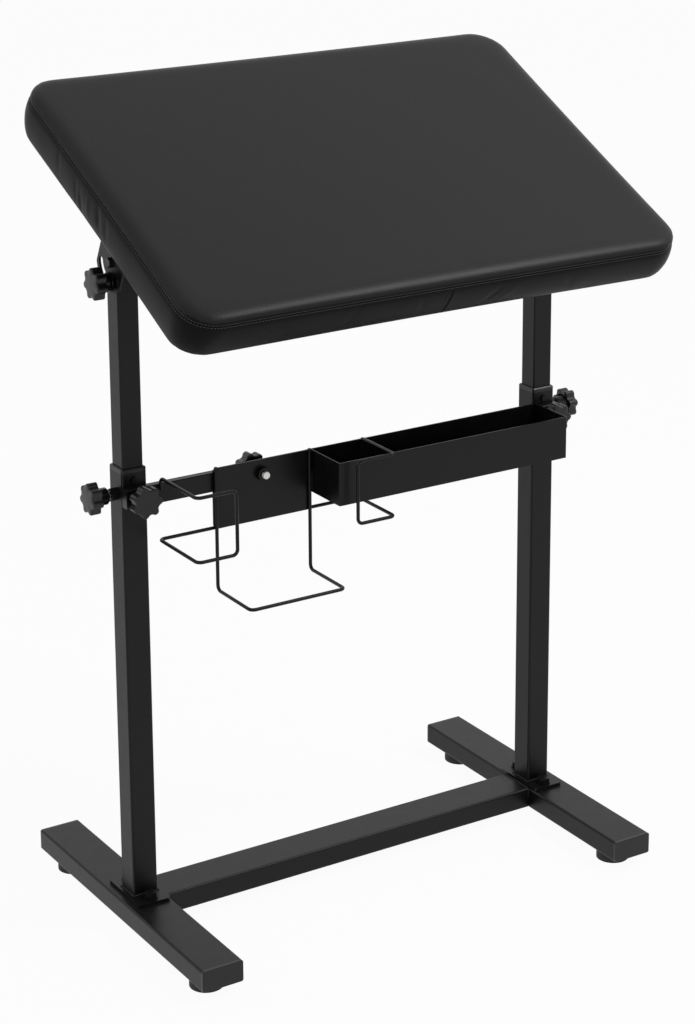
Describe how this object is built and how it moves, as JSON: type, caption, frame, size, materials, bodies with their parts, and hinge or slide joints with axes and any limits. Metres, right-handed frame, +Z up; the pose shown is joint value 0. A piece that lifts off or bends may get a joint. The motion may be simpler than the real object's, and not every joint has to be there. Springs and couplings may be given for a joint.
{
  "type": "adjustable arm rest stand",
  "caption": "Free-standing tattoo arm rest: telescoping twin posts, tilting padded board, and a clamped rail with a tray and a wire rack.",
  "frame": {"origin": "on the floor, at the middle of the stand's bounding box", "axes": "+X along the cross bar to the right as seen from the front, +Y to the back, +Z up"},
  "size_m": [0.642, 0.4224, 0.9422],
  "materials": {
    "black_steel": "semi-matte black powder coat",
    "black_plastic": "moulded black plastic",
    "zinc_steel": "zinc plated",
    "rubber": "matt black rubber",
    "plywood": "unfinished plywood",
    "foam": "upholstery foam",
    "leather": "fine-grained black artificial leather"
  },
  "bodies": {
    "base": {"left_foot_bar": "black_steel", "right_foot_bar": "black_steel", "foot_caps": "black_plastic", "cross_bar": "black_steel", "rubber_feet": "rubber", "left_base_plate": "black_steel", "right_base_plate": "black_steel", "base_bolts": "black_steel", "base_washers": "black_steel", "base_nuts": "zinc_steel", "left_outer_post": "black_steel", "right_outer_post": "black_steel", "left_guide_bush": "black_plastic", "right_guide_bush": "black_plastic", "bush_screws": "black_steel", "height_knob_nuts": "black_steel", "storage_rail": "black_steel", "rail_end_plugs": "black_plastic", "rack_plate": "black_steel", "cup_rack_wire": "black_steel", "basket_wire": "black_steel", "rack_clamp_nut": "black_steel", "tray": "black_steel"},
    "lift": {"left_inner_post": "black_steel", "right_inner_post": "black_steel", "post_glides": "black_plastic", "post_top_plugs": "black_plastic", "pivot_bolts": "zinc_steel", "pivot_washers": "black_plastic", "pivot_nuts": "zinc_steel", "tilt_knob_nuts": "zinc_steel", "tilt_washers": "zinc_steel"},
    "pad": {"left_tilt_bracket": "black_steel", "right_tilt_bracket": "black_steel", "bracket_screws": "zinc_steel", "pad_board": "plywood", "pad_foam": "foam", "pad_cover": "leather"},
    "rack_clamp": {"rack_knob": "black_plastic", "rack_stud": "zinc_steel"},
    "left_height_clamp": {"left_height_knob": "black_plastic", "left_height_stud": "zinc_steel"},
    "left_rail_clamp": {"left_rail_knob": "black_plastic", "left_rail_stud": "zinc_steel"},
    "left_tilt_clamp": {"left_tilt_knob": "black_plastic", "left_tilt_stud": "zinc_steel"},
    "right_height_clamp": {"right_height_knob": "black_plastic", "right_height_stud": "zinc_steel"},
    "right_rail_clamp": {"right_rail_knob": "black_plastic", "right_rail_stud": "zinc_steel"},
    "right_tilt_clamp": {"right_tilt_knob": "black_plastic", "right_tilt_stud": "zinc_steel"}
  },
  "joints": [
    {"name": "lift_slide", "type": "slide", "parent": "base", "child": "lift", "axis": [0, 0, 1], "range_m": [-0.15, 0.15]},
    {"name": "pad_tilt", "type": "hinge", "parent": "lift", "child": "pad", "pos_m": [0, 0.00923, 0.772], "axis": [1, 0, 0], "range_deg": [-71, 44]},
    {"name": "left_height_knob_turn", "type": "hinge", "parent": "base", "child": "left_height_clamp", "pos_m": [-0.298, 0.01423, 0.514], "axis": [-1, 0, 0], "continuous": true},
    {"name": "left_rail_knob_turn", "type": "hinge", "parent": "base", "child": "left_rail_clamp", "pos_m": [-0.271, -0.01087, 0.514], "axis": [0, -1, 0], "continuous": true},
    {"name": "left_tilt_knob_turn", "type": "hinge", "parent": "lift", "child": "left_tilt_clamp", "pos_m": [-0.2883, 0.01423, 0.75], "axis": [-1, 0, 0], "continuous": true},
    {"name": "right_height_knob_turn", "type": "hinge", "parent": "base", "child": "right_height_clamp", "pos_m": [0.298, 0.01423, 0.514], "axis": [1, 0, 0], "continuous": true},
    {"name": "right_rail_knob_turn", "type": "hinge", "parent": "base", "child": "right_rail_clamp", "pos_m": [0.271, -0.01087, 0.514], "axis": [0, -1, 0], "continuous": true},
    {"name": "right_tilt_knob_turn", "type": "hinge", "parent": "lift", "child": "right_tilt_clamp", "pos_m": [0.2883, 0.01423, 0.75], "axis": [1, 0, 0], "continuous": true},
    {"name": "rack_knob_turn", "type": "hinge", "parent": "base", "child": "rack_clamp", "pos_m": [-0.1195, -0.00067, 0.514], "axis": [0, 1, 0], "continuous": true}
  ]
}
